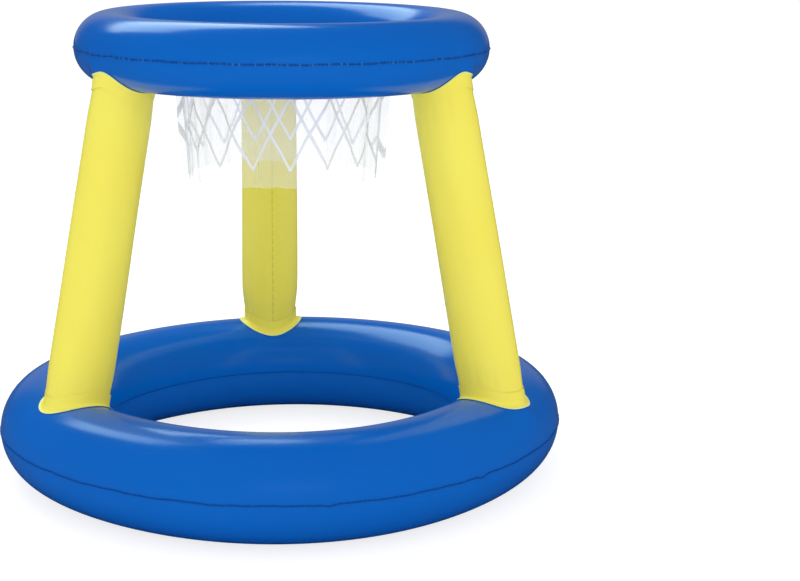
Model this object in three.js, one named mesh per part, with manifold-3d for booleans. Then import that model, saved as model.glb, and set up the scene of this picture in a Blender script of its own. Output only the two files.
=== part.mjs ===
// Inflatable basketball hoop for a swimming pool: a blue base ring, three leaning yellow legs,
// a blue hoop ring and a skirt of clear film with a net printed on it.
// It is built as the real one is, from pieces of thin PVC film that are welded edge to edge,
// with two moulded valves. Millimetres and degrees, +Z up, origin on the floor under the hoop.

import * as THREE from "three";
import { mergeVertices } from "three/addons/utils/BufferGeometryUtils.js";
import Module from "manifold-3d";

const wasm = await Module();
wasm.setup();

// Film and welds
const filmThickness = 0.3;
const clearance = 0.3;
const weldFinWidth = 1;

// Base ring, which floats or stands on the floor
const baseOuterDiameter = 596;
const baseTubeWidth = 109;
const baseTubeHeight = 106.8;
const floorBandWidth = 16;

// Hoop ring, whose top is the top of the whole object
const overallHeight = 489.8;
const hoopOuterDiameter = 431.6;
const hoopTubeWidth = 71;
const hoopTubeHeight = 72;

// Legs: each stands just inside the crown of the base ring and aims at the middle of the hoop
// ring's tube. They taper upwards, and narrow by the neck's depth all round where they end.
// Bearings are measured from +X, and the inflated legs lean a little sideways as well as inwards
const legFootDiameter = 66.4;
const legHeadDiameter = 63;
const legNeckDepth = 1.1;
const legNeckLength = 40;
const legSeamLap = 6;
const legFootAngle = 94;
const leftFootBearing = 208.8;
const leftHeadBearing = 212.8;
const rightFootBearing = 333.7;
const rightHeadBearing = 328;
const backFootBearing = 94.2;
const backHeadBearing = 95.4;
const airPortDiameter = 18;

// End collars of the legs
const collarHeight = 14;
const collarLap = 4;
const collarBendHeight = 2.5;
const collarBendReach = 0.8;
const footLipReach = 4.2;
const headLipReach = 2.2;
const collarSeat = 0.9;

// Net film: its radii and depths under the hoop ring's seam, from the seam down to the hem
const netCatchWidth = 4;
const netCatchOverhang = 1.2;
const netShoulderRadius = 104;
const netShoulderDepth = 47;
const netHemRadius = 98;
const netHemDepth = 130;
const netSideWeldWidth = 9;
const netFoldDepth = 3.4;

// Valves
const baseValveBearing = 64;
const hoopValveBearing = 67;
const valveHoleRadius = 6.6;
const valveFlangeRadius = 12.5;
const valveFlangeThickness = 1.4;
const valveSleeveWall = 1.2;
const valveSleeveLength = 5;
const valveTravel = 9;
const stemRadius = 5.2;
const stemBoreRadius = 3.2;
const stemRimRadius = 8;
const stemRimThickness = 1.2;
const stemStopRadius = 6.4;
const stemStopThickness = 1;
const capDiscRadius = 6.4;
const capDiscThickness = 1.2;
const capPlugLength = 5;
const capPlugShoulderLength = 1.7;
const capPlugNoseRadius = 2;
const strapWidth = 3.2;
const strapThickness = 0.8;
const strapReach = 10.4;
const flapRadius = 4.3;
const flapThickness = 0.6;
const flapHingeReach = 4.9;

// How finely round shapes are faceted. basePanelFacets is odd, so that the floor band is one facet
const baseRingFacets = 48;
const hoopRingFacets = 40;
const basePanelFacets = 9;
const hoopPanelFacets = 8;
const legFacets = 24;
const collarFacets = 28;
const netFacets = 32;
const valveFacets = 20;

const half = (size) => size / 2;
const radians = THREE.MathUtils.degToRad;

// Finishes
const finishes = {
  blueFilm: { color: 0x0a55b8, roughness: 0.22, metalness: 0 },
  yellowFilm: { color: 0xe3df52, roughness: 0.34, metalness: 0 },
  clearFilm: { color: 0xeef0f6, roughness: 0.12, metalness: 0, transparent: true, opacity: 0.35 },
  valvePlastic: { color: 0xe9ebee, roughness: 0.4, metalness: 0 },
};

const hoop = new THREE.Group();

function addPiece(name, geometry, finish, parent = hoop) {
  const mesh = new THREE.Mesh(geometry, new THREE.MeshStandardMaterial(finishes[finish]));
  mesh.name = name;
  parent.add(mesh);
  return mesh;
}

// Booleans

function toSolid(geometry) {
  const bare = geometry.clone();
  bare.deleteAttribute("normal");
  bare.deleteAttribute("uv");
  const merged = mergeVertices(bare);
  const solid = new wasm.Manifold(new wasm.Mesh({
    numProp: 3,
    vertProperties: new Float32Array(merged.attributes.position.array),
    triVerts: new Uint32Array(merged.index.array),
  }));
  return solid;
}

function toGeometry(solid) {
  const mesh = solid.getMesh();
  const geometry = new THREE.BufferGeometry();
  geometry.setAttribute("position", new THREE.BufferAttribute(mesh.vertProperties, 3));
  geometry.setIndex(new THREE.BufferAttribute(mesh.triVerts, 1));
  geometry.computeVertexNormals();
  return geometry;
}

function cutAway(geometry, cutters) {
  const solid = cutters.reduce((left, cutter) => left.subtract(toSolid(cutter)), toSolid(geometry));
  return toGeometry(solid);
}

// Revolved shapes: the outline is a closed list of [radius, height] going round anticlockwise

function revolve(outline, facets) {
  const points = [...outline, outline[0]].map(([radius, height]) => new THREE.Vector2(radius, height));
  const geometry = new THREE.LatheGeometry(points, facets);
  geometry.rotateX(half(Math.PI));
  return geometry;
}

// A film: two grids of points, its outside and its inside, closed along every free edge.
// Rows run down the film, and columns run across it or right round it

function filmSolid(outside, inside, goesRound) {
  const rows = outside.length;
  const columns = outside[0].length;
  const positions = [...outside.flat(), ...inside.flat()].flatMap((point) => point.toArray());
  const index = [];
  const out = (row, column) => row * columns + (column % columns);
  const back = (row, column) => rows * columns + out(row, column);
  const quad = (a, b, c, d) => index.push(a, b, c, a, c, d);
  const spans = goesRound ? columns : columns - 1;
  const lastRow = rows - 1;
  for (let column = 0; column < spans; column += 1) {
    const next = column + 1;
    for (let row = 0; row < lastRow; row += 1) {
      quad(out(row, column), out(row + 1, column), out(row + 1, next), out(row, next));
      quad(back(row, column), back(row, next), back(row + 1, next), back(row + 1, column));
    }
    quad(out(0, column), out(0, next), back(0, next), back(0, column));
    quad(out(lastRow, column), back(lastRow, column), back(lastRow, next), out(lastRow, next));
  }
  if (!goesRound) {
    for (let row = 0; row < lastRow; row += 1) {
      quad(out(row, 0), back(row, 0), back(row + 1, 0), out(row + 1, 0));
      quad(out(row, spans), out(row + 1, spans), back(row + 1, spans), back(row, spans));
    }
  }
  const geometry = new THREE.BufferGeometry();
  geometry.setAttribute("position", new THREE.Float32BufferAttribute(positions, 3));
  geometry.setIndex(index);
  geometry.computeVertexNormals();
  return geometry;
}

// Rings

function makeRing(outerDiameter, tubeWidth, tubeHeight, centreHeight, facets, panelFacets, catchGap) {
  return {
    centreRadius: half(outerDiameter - tubeWidth),
    halfWidth: half(tubeWidth),
    halfHeight: half(tubeHeight),
    centreHeight,
    facets,
    panelFacets,
    outerGap: half(clearance),
    innerGap: catchGap,
  };
}

const bandShare = floorBandWidth / baseTubeWidth;
const baseCentreHeight = half(baseTubeHeight) * Math.sqrt(1 - bandShare ** 2);
const baseRing = makeRing(baseOuterDiameter, baseTubeWidth, baseTubeHeight, baseCentreHeight,
  baseRingFacets, basePanelFacets, half(clearance));
const hoopRing = makeRing(hoopOuterDiameter, hoopTubeWidth, hoopTubeHeight,
  overallHeight - half(hoopTubeHeight), hoopRingFacets, hoopPanelFacets,
  half(filmThickness) + clearance);

// One half of a ring's section, as a row of [radius, height] from the outer seam over the crown
// to the inner seam. inset moves it inwards, and a floor band makes the crown flat

function sectionArc(ring, inset, outerStart, innerEnd, side, band) {
  const width = ring.halfWidth - inset;
  const height = ring.halfHeight - inset;
  const first = Math.asin(outerStart / height);
  const last = Math.PI - Math.asin(innerEnd / height);
  const steps = ring.panelFacets;
  const crown = band ? Math.acos(half(band) / width) : null;
  const angles = [];
  for (let step = 0; step <= steps; step += 1) {
    if (!band) {
      angles.push(first + ((last - first) * step) / steps);
    } else {
      const perSide = half(steps - 1);
      const fromOuter = first + ((crown - first) * step) / perSide;
      const fromInner = last - ((crown - (Math.PI - last)) * (steps - step)) / perSide;
      angles.push(step <= perSide ? fromOuter : fromInner);
    }
  }
  return angles.map((angle) => [
    ring.centreRadius + width * Math.cos(angle),
    ring.centreHeight + side * height * Math.sin(angle),
  ]);
}

// A panel is one half of a ring's skin. Its edges run on as flat weld fins, which lie a
// clearance apart from the other panel's, or from the film that is caught between them

function panelGeometry(ring, side, band) {
  const { outerGap, innerGap, centreHeight, centreRadius, halfWidth } = ring;
  const outer = sectionArc(ring, 0, outerGap + filmThickness, innerGap + filmThickness, side, band);
  const inner = sectionArc(ring, filmThickness, outerGap, innerGap, side, band);
  const outerTip = centreRadius + halfWidth + weldFinWidth;
  const innerTip = centreRadius - halfWidth - weldFinWidth;
  const outline = [
    [outerTip, centreHeight + side * outerGap],
    [outerTip, centreHeight + side * (outerGap + filmThickness)],
    ...outer,
    [innerTip, centreHeight + side * (innerGap + filmThickness)],
    [innerTip, centreHeight + side * innerGap],
    ...inner.reverse(),
  ];
  if (side < 0) {
    outline.reverse();
  }
  return revolve(outline, ring.facets);
}

// The space inside a ring, less an inset, as one closed solid

function ringInterior(ring, inset) {
  const upper = sectionArc(ring, inset, 0, 0, 1);
  const lower = sectionArc(ring, inset, 0, 0, -1);
  return revolve([...upper, ...lower.reverse().slice(1, -1)], ring.facets);
}

// A point on a ring's skin, by its bearing round the ring and its angle round the tube

function ringPoint(ring, bearing, angle, lift) {
  const across = Math.cos(angle) / ring.halfWidth;
  const up = Math.sin(angle) / ring.halfHeight;
  const steep = Math.hypot(across, up);
  const radius = ring.centreRadius + ring.halfWidth * Math.cos(angle) + (lift * across) / steep;
  const height = ring.centreHeight + ring.halfHeight * Math.sin(angle) + (lift * up) / steep;
  return new THREE.Vector3(radius * Math.cos(bearing), radius * Math.sin(bearing), height);
}

function skinAngles(ring, point) {
  const radius = Math.hypot(point.x, point.y) - ring.centreRadius;
  const height = point.z - ring.centreHeight;
  return {
    bearing: Math.atan2(point.y, point.x),
    angle: Math.atan2(height / ring.halfHeight, radius / ring.halfWidth),
  };
}

function isInside(ring, point) {
  const radius = Math.hypot(point.x, point.y) - ring.centreRadius;
  const height = point.z - ring.centreHeight;
  return Math.hypot(radius / ring.halfWidth, height / ring.halfHeight) < 1;
}

// Where a line from start along direction first meets a ring's skin

function meetRing(ring, start, direction, reach) {
  const at = (distance) => start.clone().addScaledVector(direction, distance);
  const strides = 200;
  let stride = 1;
  while (stride < strides && !isInside(ring, at((reach * stride) / strides))) {
    stride += 1;
  }
  let near = (reach * (stride - 1)) / strides;
  let far = (reach * stride) / strides;
  for (let halving = 0; halving < 30; halving += 1) {
    const middle = half(near + far);
    if (isInside(ring, at(middle))) {
      far = middle;
    } else {
      near = middle;
    }
  }
  return near;
}

// Legs

function legFrame(footBearing, headBearing) {
  const foot = ringPoint(baseRing, radians(footBearing), radians(legFootAngle), 0);
  const head = ringPoint(hoopRing, radians(headBearing), half(Math.PI), -hoopRing.halfHeight);
  const up = head.clone().sub(foot).normalize();
  const middle = foot.clone().add(head).multiplyScalar(1 / 2);
  const sideways = new THREE.Vector3().crossVectors(up, middle).setZ(0).normalize();
  const front = new THREE.Vector3().crossVectors(sideways, up).normalize();
  return { up, front, sideways, middle, length: foot.distanceTo(head) };
}

// A spoke is one line of a leg's wall: its start at the middle of the leg, and how far it runs
// up or down to the ring

function legSpoke(leg, turn, radius, ring, upwards) {
  const outwards = leg.front.clone().multiplyScalar(Math.cos(turn))
    .addScaledVector(leg.sideways, Math.sin(turn));
  const start = leg.middle.clone().addScaledVector(outwards, radius);
  const direction = leg.up.clone().multiplyScalar(upwards);
  const reach = meetRing(ring, start, direction, leg.length);
  return { start, outwards, direction, reach };
}

const legFootRadius = half(legFootDiameter);
const legHeadRadius = half(legHeadDiameter);
const lapLift = filmThickness + clearance;
const collarGap = lapLift + 2 * clearance;
const tubeEndGap = collarHeight - collarLap;
const footEnd = {
  ring: baseRing, upwards: -1, radius: legFootRadius - legNeckDepth, lipReach: footLipReach,
};
const headEnd = {
  ring: hoopRing, upwards: 1, radius: legHeadRadius - legNeckDepth, lipReach: headLipReach,
};

// The tube is one sheet rolled up, whose last few millimetres lie over its first edge.
// The seam faces the hoop's axis

function legTube(leg) {
  const lapTurn = legSeamLap / legFootRadius;
  const turns = [0];
  for (let facet = 1; facet < legFacets; facet += 1) {
    turns.push(lapTurn + ((2 * Math.PI - lapTurn) * facet) / legFacets);
  }
  turns.push(2 * Math.PI, 2 * Math.PI + lapTurn);
  const wall = (inset) => {
    const columns = turns.map((turn, place) => {
      const overlap = place >= legFacets ? lapLift : 0;
      const shrink = inset - overlap;
      const down = legSpoke(leg, turn + Math.PI, footEnd.radius, baseRing, -1);
      const up = legSpoke(leg, turn + Math.PI, headEnd.radius, hoopRing, 1);
      const stations = [
        [up.reach - tubeEndGap, headEnd.radius],
        [up.reach - legNeckLength, legHeadRadius],
        [0, half(legHeadRadius + legFootRadius)],
        [legNeckLength - down.reach, legFootRadius],
        [tubeEndGap - down.reach, footEnd.radius],
      ];
      return stations.map(([height, radius]) => leg.middle.clone()
        .addScaledVector(up.outwards, radius - shrink)
        .addScaledVector(leg.up, height));
    });
    return columns[0].map((_, row) => columns.map((column) => column[row]));
  };
  return filmSolid(wall(0), wall(filmThickness), false);
}

// A collar runs from the lap on the tube's end down to the ring, bends outwards and ends in a
// lip that lies on the ring's skin

function collarGeometry(leg, end) {
  const { ring, upwards, lipReach } = end;
  const collarRadius = end.radius + collarGap;
  const axis = legSpoke(leg, 0, 0, ring, upwards);
  const centre = skinAngles(ring, axis.start.clone().addScaledVector(axis.direction, axis.reach));
  const skin = (inset) => {
    const columns = [];
    for (let facet = 0; facet < collarFacets; facet += 1) {
      const turn = (-upwards * 2 * Math.PI * facet) / collarFacets;
      const radius = collarRadius + filmThickness - inset;
      const spoke = legSpoke(leg, turn, collarRadius, ring, upwards);
      const onWall = (gap) => leg.middle.clone()
        .addScaledVector(spoke.outwards, radius)
        .addScaledVector(spoke.direction, spoke.reach - gap);
      const hit = skinAngles(ring, spoke.start.clone().addScaledVector(spoke.direction, spoke.reach));
      const round = hit.bearing - centre.bearing;
      const over = hit.angle - centre.angle;
      const spread = Math.hypot(ring.centreRadius * round, ring.halfWidth * over);
      const onRing = (beyond) => {
        const stretch = 1 + beyond / spread;
        const bearing = centre.bearing + round * stretch;
        const angle = centre.angle + over * stretch;
        return ringPoint(ring, bearing, angle, collarSeat + filmThickness - inset);
      };
      columns.push([
        onWall(collarHeight),
        onWall(tubeEndGap - clearance),
        onWall(collarBendHeight),
        onRing(collarBendReach),
        onRing(lipReach),
      ]);
    }
    return columns[0].map((_, row) => columns.map((column) => column[row]));
  };
  return filmSolid(skin(0), skin(filmThickness), true);
}

// A round cutter through a ring's skin, along a line

function borer(centre, direction, radius, length) {
  const geometry = new THREE.CylinderGeometry(radius, radius, length, valveFacets);
  const upright = new THREE.Vector3(0, 1, 0);
  geometry.applyQuaternion(new THREE.Quaternion().setFromUnitVectors(upright, direction));
  geometry.translate(centre.x, centre.y, centre.z);
  return geometry;
}

const legs = [
  { name: "left_leg", frame: legFrame(leftFootBearing, leftHeadBearing) },
  { name: "right_leg", frame: legFrame(rightFootBearing, rightHeadBearing) },
  { name: "back_leg", frame: legFrame(backFootBearing, backHeadBearing) },
];

for (const { name, frame } of legs) {
  addPiece(name, legTube(frame), "yellowFilm");
  addPiece(`${name}_foot_collar`, collarGeometry(frame, footEnd), "yellowFilm");
  addPiece(`${name}_head_collar`, collarGeometry(frame, headEnd), "yellowFilm");
}

const airPorts = legs.map(({ frame }) => {
  const axis = legSpoke(frame, 0, 0, baseRing, -1);
  const centre = axis.start.clone().addScaledVector(axis.direction, axis.reach);
  return borer(centre, frame.up, half(airPortDiameter), footEnd.radius);
});

// Valves: each stands square on one flat facet of its ring's upper panel, on the far side

function facetFrame(ring, bearing, facet) {
  const { outerGap, innerGap } = ring;
  const arc = sectionArc(ring, 0, outerGap + filmThickness, innerGap + filmThickness, 1);
  const halfTurn = Math.PI / ring.facets;
  const middle = (2 * Math.floor(half(radians(bearing)) / halfTurn) + 1) * halfTurn;
  const corner = ([radius, height], side) => new THREE.Vector3(
    radius * Math.cos(middle + side * halfTurn),
    radius * Math.sin(middle + side * halfTurn),
    height,
  );
  const low = corner(arc[facet], -1).add(corner(arc[facet], 1)).multiplyScalar(1 / 2);
  const high = corner(arc[facet + 1], -1).add(corner(arc[facet + 1], 1)).multiplyScalar(1 / 2);
  const upSlope = high.clone().sub(low).normalize();
  const sideways = new THREE.Vector3(-Math.sin(middle), Math.cos(middle), 0);
  const outwards = new THREE.Vector3().crossVectors(sideways, upSlope);
  const origin = low.add(high).multiplyScalar(1 / 2);
  return { origin, upSlope, sideways, outwards };
}

// In a valve's own frame +Z points out of the ring, +X up the ring's slope and zero is the
// film's outer face

const rimSeat = clearance;
const rimTop = rimSeat + stemRimThickness;
const flangeTop = -filmThickness - clearance;
const flangeDepth = valveFlangeRadius ** 2 / hoopTubeWidth + valveFlangeThickness;
const sleeveEnd = flangeTop - flangeDepth - valveSleeveLength;
const stopTop = sleeveEnd - clearance - valveTravel;
const stemEnd = stopTop - stemStopThickness;
const sleeveBore = stemRadius + clearance;
const sleeveRadius = sleeveBore + valveSleeveWall;

function flangeGeometry(ring, frameMatrix) {
  const blank = revolve([
    [sleeveBore, sleeveEnd],
    [sleeveRadius, sleeveEnd],
    [sleeveRadius, flangeTop - flangeDepth],
    [valveFlangeRadius, flangeTop - flangeDepth],
    [valveFlangeRadius, rimSeat],
    [sleeveBore, rimSeat],
  ], valveFacets);
  const room = ringInterior(ring, filmThickness + clearance);
  room.applyMatrix4(frameMatrix.clone().invert());
  return toGeometry(toSolid(blank).intersect(toSolid(room)));
}

// The rim carries a lug, and the cap's strap is rooted just past its tip

const lugReach = strapReach - strapThickness - clearance;

function stemGeometry() {
  const body = revolve([
    [stemBoreRadius, stemEnd],
    [stemStopRadius, stemEnd],
    [stemStopRadius, stopTop],
    [stemRadius, stopTop],
    [stemRadius, rimSeat],
    [stemRimRadius, rimSeat],
    [stemRimRadius, rimTop],
    [stemBoreRadius, rimTop],
  ], valveFacets);
  const lug = new THREE.BoxGeometry(lugReach, strapWidth, stemRimThickness);
  lug.translate(half(lugReach), 0, rimSeat + half(stemRimThickness));
  const bore = borer(new THREE.Vector3(), new THREE.Vector3(0, 0, 1), stemRadius, stemRadius);
  return toGeometry(toSolid(body).add(toSolid(cutAway(lug, [bore]))));
}

// The cap's plug tapers so that it swings out of the bore on its strap without binding

const capSeat = rimTop + clearance;
const capTop = capSeat + capDiscThickness;
const plugRadius = stemBoreRadius - clearance;
const hingeReach = strapReach - half(strapThickness);
const hingeHeight = rimTop;

function capGeometry() {
  const plugEnd = capSeat - capPlugLength;
  const plugShoulder = capSeat - capPlugShoulderLength;
  const body = revolve([
    [0, plugEnd],
    [capPlugNoseRadius, plugEnd],
    [plugRadius, plugShoulder],
    [plugRadius, capSeat],
    [capDiscRadius, capSeat],
    [capDiscRadius, capTop],
    [0, capTop],
  ], valveFacets);
  const strap = new THREE.BoxGeometry(strapReach, strapWidth, strapThickness);
  strap.translate(half(strapReach), 0, capSeat + half(strapThickness));
  const rootTop = capSeat + strapThickness;
  const rootEnd = hingeHeight - half(strapThickness);
  const root = new THREE.BoxGeometry(strapThickness, strapWidth, rootTop - rootEnd);
  root.translate(hingeReach, 0, half(rootTop + rootEnd));
  return toGeometry(toSolid(body).add(toSolid(strap)).add(toSolid(root)));
}

function flapGeometry() {
  const disc = new THREE.CylinderGeometry(flapRadius, flapRadius, flapThickness, valveFacets);
  disc.rotateX(half(Math.PI));
  const tongue = new THREE.BoxGeometry(flapHingeReach, strapWidth, flapThickness);
  tongue.translate(half(flapHingeReach), 0, 0);
  const geometry = toGeometry(toSolid(disc).add(toSolid(tongue)));
  geometry.translate(0, 0, stemEnd - clearance - half(flapThickness));
  return geometry;
}

const valves = [
  { name: "base_valve", ring: baseRing, bearing: baseValveBearing },
  { name: "hoop_valve", ring: hoopRing, bearing: hoopValveBearing },
];
const valveFacet = 1;

for (const valve of valves) {
  const { origin, upSlope, sideways, outwards } = facetFrame(valve.ring, valve.bearing, valveFacet);
  valve.matrix = new THREE.Matrix4().makeBasis(upSlope, sideways.clone().negate(), outwards);
  valve.matrix.setPosition(origin);
  valve.hole = borer(origin, outwards, valveHoleRadius, valveFlangeRadius);
  const group = new THREE.Group();
  group.applyMatrix4(valve.matrix);
  hoop.add(group);
  addPiece(`${valve.name}_flange`, flangeGeometry(valve.ring, valve.matrix), "valvePlastic", group);
  addPiece(`${valve.name}_stem`, stemGeometry(), "valvePlastic", group);
  addPiece(`${valve.name}_cap`, capGeometry(), "valvePlastic", group);
  addPiece(`${valve.name}_flap`, flapGeometry(), "valvePlastic", group);
}
const [baseValve, hoopValve] = valves;

addPiece("base_upper_panel",
  cutAway(panelGeometry(baseRing, 1), [...airPorts, baseValve.hole]), "blueFilm");
addPiece("base_lower_panel", panelGeometry(baseRing, -1, floorBandWidth), "blueFilm");
addPiece("hoop_upper_panel", cutAway(panelGeometry(hoopRing, 1), [hoopValve.hole]), "blueFilm");
addPiece("hoop_lower_panel", panelGeometry(hoopRing, -1), "blueFilm");

// Net film: two films, front and back, caught in the hoop ring's inner seam, drawn in under it
// and hanging in soft folds. They are welded together at the left and the right in a flat fin

const seamRadius = hoopRing.centreRadius - hoopRing.halfWidth;
const seamHeight = hoopRing.centreHeight;
const catchRadius = seamRadius - weldFinWidth - netCatchOverhang;

// Each row of the film: its radius, its depth under the seam, and how far its folds and its
// side welds are formed there
const shoulderDropShares = [0.06, 0.3, 0.62, 1];
const shoulderDrawShares = [0.22, 0.5, 0.78, 1];
const skirtShares = [0.35, 0.7, 1];

const netRows = [
  { radius: catchRadius + netCatchWidth, depth: 0, formed: 0 },
  { radius: catchRadius, depth: 0, formed: 0 },
  ...shoulderDropShares.map((drop, row) => ({
    radius: THREE.MathUtils.lerp(catchRadius, netShoulderRadius, shoulderDrawShares[row]),
    depth: netShoulderDepth * drop,
    formed: drop,
  })),
  ...skirtShares.map((share) => ({
    radius: THREE.MathUtils.lerp(netShoulderRadius, netHemRadius, share),
    depth: THREE.MathUtils.lerp(netShoulderDepth, netHemDepth, share),
    formed: 1,
  })),
];

// Folds across half of the net: how many, how deep each wave is against netFoldDepth, and where
// it starts in turns of a wave
const foldWaves = [
  { count: 7, depthShare: 0.6, startShare: 0.1 },
  { count: 11, depthShare: 0.4, startShare: 0.65 },
];

function netGrid(side, inset) {
  const offset = half(clearance) + half(filmThickness);
  const lift = half(filmThickness) - inset;
  return netRows.map((row, place) => {
    const above = netRows[Math.max(place - 1, 1)];
    const below = netRows[Math.min(place + 1, netRows.length - 1)];
    const lean = Math.atan2(above.radius - below.radius, below.depth - above.depth);
    const slope = place < 2 ? half(Math.PI) : lean;
    const finWidth = netSideWeldWidth * row.formed;
    const finRoot = weldFinWidth * (1 - row.formed);
    const columns = [];
    for (let column = -1; column <= netFacets + 1; column += 1) {
      const across = THREE.MathUtils.clamp((2 * column) / netFacets - 1, -1, 1);
      const turn = across * half(Math.PI);
      const wave = foldWaves.reduce((sum, { count, depthShare, startShare }) => sum
        + depthShare * Math.cos(Math.PI * (across * count + 2 * startShare)), 0);
      const flatness = Math.sin(half(Math.PI) * Math.min(1, (1 - Math.abs(across)) * netFacets / 4));
      const fold = netFoldDepth * row.formed * wave * flatness;
      const isFinTip = column < 0 || column > netFacets;
      const isFin = Math.abs(across) === 1;
      const radius = row.radius + fold + (isFinTip ? 0 : lift * Math.cos(slope));
      const sideways = Math.sin(turn) * radius + (isFinTip ? Math.sign(across) * finWidth : 0);
      const outwards = Math.cos(turn) * radius + offset
        + (isFin ? lift : 0) + (isFin && !isFinTip ? finRoot : 0);
      const height = seamHeight - row.depth - lift * Math.sin(slope);
      columns.push(new THREE.Vector3(-side * sideways, side * outwards, height));
    }
    return columns;
  });
}

addPiece("net_front_film", filmSolid(netGrid(-1, 0), netGrid(-1, filmThickness), false), "clearFilm");
addPiece("net_back_film", filmSolid(netGrid(1, 0), netGrid(1, filmThickness), false), "clearFilm");

export default hoop;
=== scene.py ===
import math

import bmesh
import bpy
import numpy as np
from mathutils import Matrix, Vector


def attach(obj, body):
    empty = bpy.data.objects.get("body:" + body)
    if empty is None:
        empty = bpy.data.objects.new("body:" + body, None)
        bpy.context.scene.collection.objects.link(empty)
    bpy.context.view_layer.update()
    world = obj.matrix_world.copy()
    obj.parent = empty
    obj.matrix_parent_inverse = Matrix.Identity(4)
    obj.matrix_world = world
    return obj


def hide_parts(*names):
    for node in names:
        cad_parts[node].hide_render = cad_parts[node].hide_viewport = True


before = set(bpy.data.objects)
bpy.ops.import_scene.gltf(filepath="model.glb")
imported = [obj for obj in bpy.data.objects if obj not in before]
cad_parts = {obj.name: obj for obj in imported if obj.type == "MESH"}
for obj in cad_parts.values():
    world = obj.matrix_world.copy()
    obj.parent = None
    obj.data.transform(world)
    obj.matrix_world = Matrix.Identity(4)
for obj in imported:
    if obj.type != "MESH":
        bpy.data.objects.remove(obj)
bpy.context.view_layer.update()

mm = 0.001
fullTurn = 2 * math.pi
film = 0.3 * mm         # one thickness of PVC film
gap = 0.3 * mm          # air that the frame leaves between two films
weldFin = 1.0 * mm      # flat edge that sticks out past a weld
sameSpot = 0.01 * mm    # vertices nearer than this are one
smoothUpTo = math.radians(50)       # faces that meet at more than this keep their edge
body = "inflated_frame"


# Small tools

def linear(hexColour):
    parts = [int(hexColour[place:place + 2], 16) / 255 for place in (1, 3, 5)]
    return [part / 12.92 if part <= 0.04045 else ((part + 0.055) / 1.055) ** 2.4 for part in parts] + [1.0]


def deselectAll():
    if bpy.context.mode != "OBJECT":
        bpy.ops.object.mode_set(mode="OBJECT")
    bpy.ops.object.select_all(action="DESELECT")


def pick(piece):
    deselectAll()
    piece.select_set(True)
    bpy.context.view_layer.objects.active = piece


def editWhole(piece):
    pick(piece)
    bpy.ops.object.mode_set(mode="EDIT")
    bpy.ops.mesh.select_all(action="SELECT")


def selectWhere(piece, wanted):         # in edit mode, by place
    mesh = bmesh.from_edit_mesh(piece.data)
    for vert in mesh.verts:
        vert.select = bool(wanted(vert.co))
    mesh.select_flush(True)
    mesh.select_flush(False)
    bmesh.update_edit_mesh(piece.data)


def places(piece):
    points = np.empty(len(piece.data.vertices) * 3)
    piece.data.vertices.foreach_get("co", points)
    return points.reshape(-1, 3)


def setPlaces(piece, points):
    piece.data.vertices.foreach_set("co", np.ascontiguousarray(points, dtype=np.float32).ravel())
    piece.data.update()


def setUv(piece, across, along, period=None):       # a UV map in metres, from one value of each a vertex
    corners = np.empty(len(piece.data.loops), dtype=np.int32)
    piece.data.loops.foreach_get("vertex_index", corners)
    u, v = across[corners], along[corners]
    if period:                                      # faces that cross the join of a ring
        sizes = np.array([polygon.loop_total for polygon in piece.data.polygons])
        most = np.maximum.reduceat(u, np.cumsum(sizes) - sizes)
        u = np.where(np.repeat(most, sizes) - u > period / 2, u + period, u)
    layer = piece.data.uv_layers.active or piece.data.uv_layers.new(name="filmRun")
    layer.name = "filmRun"
    layer.data.foreach_set("uv", np.stack([u, v], 1).astype(np.float32).ravel())


def modify(piece, kind, **settings):
    pick(piece)
    modifier = piece.modifiers.new(kind, kind)
    for name, value in settings.items():
        setattr(modifier, name, value)
    bpy.ops.object.modifier_apply(modifier=modifier.name)


def dress(piece, material, slot, rider, *nodes):    # finish, body and the frame's nodes it stands for
    piece.data.materials.clear()
    piece.data.materials.append(material)
    pick(piece)
    bpy.ops.object.shade_smooth_by_angle(angle=smoothUpTo)
    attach(piece, rider)
    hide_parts(*nodes)


def smoothStep(low, high, value):
    share = np.clip((value - low) / (high - low), 0, 1)
    return share * share * (3 - 2 * share)


def bell(distance, width):
    return np.exp(-(distance / width) ** 2)


def unit(vectors):
    return vectors / np.linalg.norm(vectors, axis=-1, keepdims=True)


# Materials

pvcIor = 1.53           # plasticised PVC


def addNode(tree, kind, settings=None, links=None):
    node = tree.nodes.new("ShaderNode" + kind)
    for name, value in (settings or {}).items():
        if isinstance(name, str) and hasattr(node, name):
            setattr(node, name, value)
        else:
            node.inputs[name].default_value = value
    for name, source in (links or {}).items():
        tree.links.new(source, node.inputs[name])
    return node


def ramp(low, high, first, last, kind="LINEAR"):    # settings of a Map Range node
    return {"interpolation_type": kind, "From Min": low, "From Max": high, "To Min": first, "To Max": last}


def tints(first, second):                           # settings of a Mix node between two colours
    return {"data_type": "RGBA", 6: linear(first), 7: linear(second)}


def newMaterial(name, look):
    material = bpy.data.materials.new(name)
    material.use_nodes = True
    tree = material.node_tree
    shader = tree.nodes["Principled BSDF"]
    for socket, value in (("Roughness", "roughness"), ("IOR", "ior"), ("Specular IOR Level", "specular")):
        if value in look:
            shader.inputs[socket].default_value = look[value]
    return material, tree, shader


blueLook = {
    "film": "#0063C2", "filmDeep": "#005CB9", "cloud": 120 * mm,
    "roughness": 0.2, "ior": pvcIor, "specular": 0.36, "tint": "#D6F4FF",
    # weldPaintedGlint and the dash settings paint glints: pale dashes on the weld that stand in for highlights
    "weld": "#0A56B0", "weldPaintedGlint": "#2E7BC6", "weldWidth": 0.5 * mm, "weldFade": 1.5 * mm,
    "dash": 3 * mm, "dashFrom": 0.54, "dashTo": 0.66,
    "crimpPitch": 2.6 * mm, "crimpLength": 10.4 * mm, "crimpReach": 3.5 * mm, "crimpDepth": 0.25 * mm,
    "grain": 1.6 * mm, "grainStrength": 0.03, "grainDepth": 0.1 * mm,
}


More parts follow.
